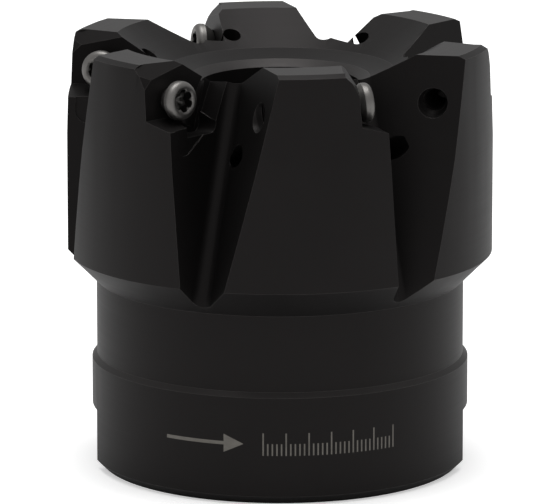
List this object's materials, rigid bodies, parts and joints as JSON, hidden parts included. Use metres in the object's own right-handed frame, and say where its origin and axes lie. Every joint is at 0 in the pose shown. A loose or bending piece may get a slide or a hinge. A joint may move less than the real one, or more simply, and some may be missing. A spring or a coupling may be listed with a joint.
{
  "type": "face mill body",
  "caption": "Arbor-mounted shoulder and face mill body in blackened steel, with a dished front, V-shaped chip flutes, open insert seats and their clamping screws.",
  "frame": {"origin": "centre of the back face, on the tool axis", "axes": "+Z along the tool axis towards the cutting end, X along the drive slot"},
  "size_m": [0.0394, 0.0394, 0.04],
  "materials": {
    "body_steel": "blackened, satin, with a fine machining grain",
    "screw_steel": "plain light grey, satin"
  },
  "bodies": {
    "body": {"cutter_body": "body_steel"},
    "screw_1": {"insert_screw_1": "screw_steel"},
    "screw_2": {"insert_screw_2": "screw_steel"},
    "screw_3": {"insert_screw_3": "screw_steel"},
    "screw_4": {"insert_screw_4": "screw_steel"},
    "screw_5": {"insert_screw_5": "screw_steel"},
    "screw_6": {"insert_screw_6": "screw_steel"}
  },
  "joints": [
    {"name": "screw_1_travel", "type": "slide", "parent": "body", "child": "screw_1", "axis": [0.9669, 0.2423, 0.0802], "range_m": [0, 0.0044]},
    {"name": "screw_2_travel", "type": "slide", "parent": "body", "child": "screw_2", "axis": [0.2736, 0.9585, 0.0802], "range_m": [0, 0.0044]},
    {"name": "screw_3_travel", "type": "slide", "parent": "body", "child": "screw_3", "axis": [-0.6933, 0.7162, 0.0802], "range_m": [0, 0.0044]},
    {"name": "screw_4_travel", "type": "slide", "parent": "body", "child": "screw_4", "axis": [-0.9669, -0.2423, 0.0802], "range_m": [0, 0.0044]},
    {"name": "screw_5_travel", "type": "slide", "parent": "body", "child": "screw_5", "axis": [-0.2736, -0.9585, 0.0802], "range_m": [0, 0.0044]},
    {"name": "screw_6_travel", "type": "slide", "parent": "body", "child": "screw_6", "axis": [0.6933, -0.7162, 0.0802], "range_m": [0, 0.0044]}
  ]
}
